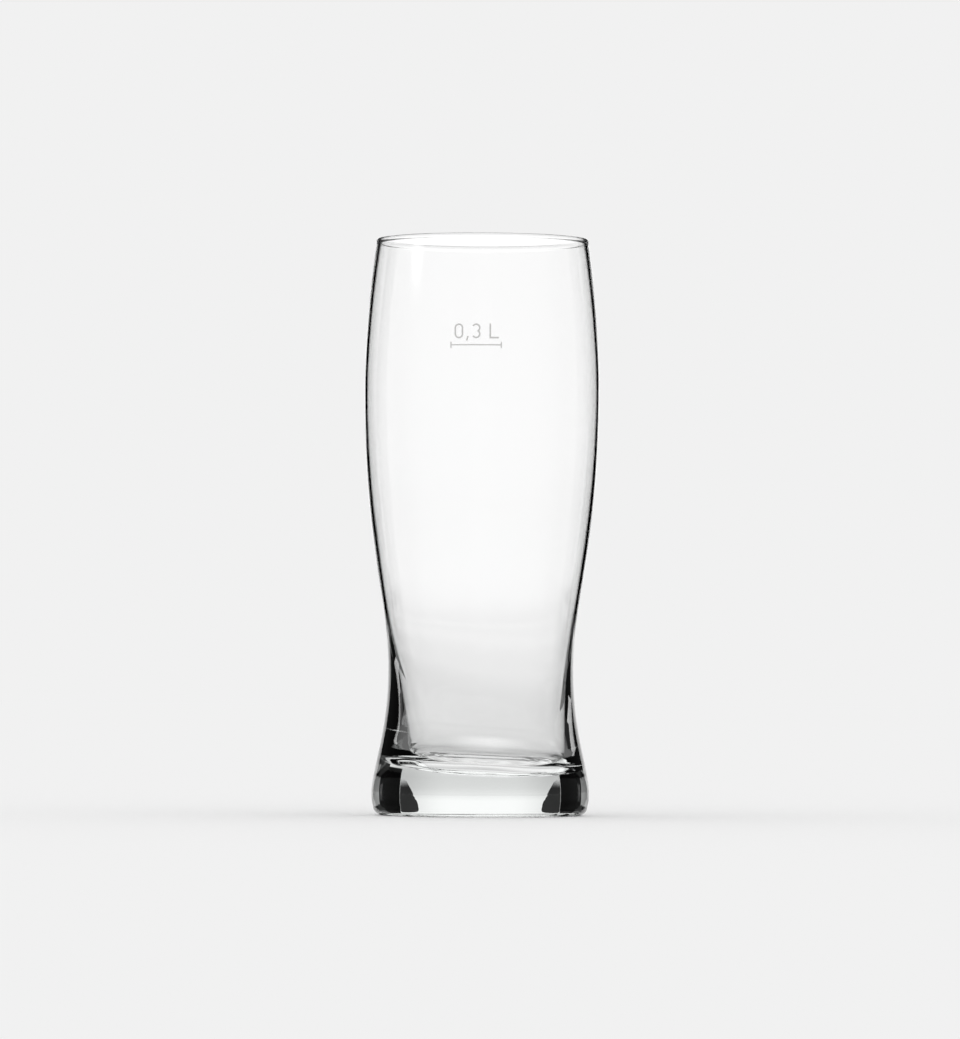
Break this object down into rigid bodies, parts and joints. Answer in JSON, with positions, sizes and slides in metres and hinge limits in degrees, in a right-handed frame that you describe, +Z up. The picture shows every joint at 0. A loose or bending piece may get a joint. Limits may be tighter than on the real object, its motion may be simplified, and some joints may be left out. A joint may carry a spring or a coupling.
{
  "type": "beer tumbler",
  "caption": "Waisted clear glass beer tumbler with a heavy foot, a thin rounded lip and a printed fill line with its capacity figure.",
  "frame": {"origin": "centre of the flat ring that the glass stands on, on the axis of the wall", "axes": "+Z up along the axis of the wall, -Y towards the front with the fill mark, +X to the right seen from the front"},
  "size_m": [0.0668, 0.0668, 0.164],
  "materials": {
    "clear_glass": "fire-polished, clear and smooth",
    "fired_enamel": "satin, thin screen-printed film"
  },
  "bodies": {
    "root": {"tumbler_body": "clear_glass", "fill_line": "fired_enamel", "capacity_zero": "fired_enamel", "capacity_comma": "fired_enamel", "capacity_three": "fired_enamel", "capacity_litre": "fired_enamel"}
  },
  "joints": []
}
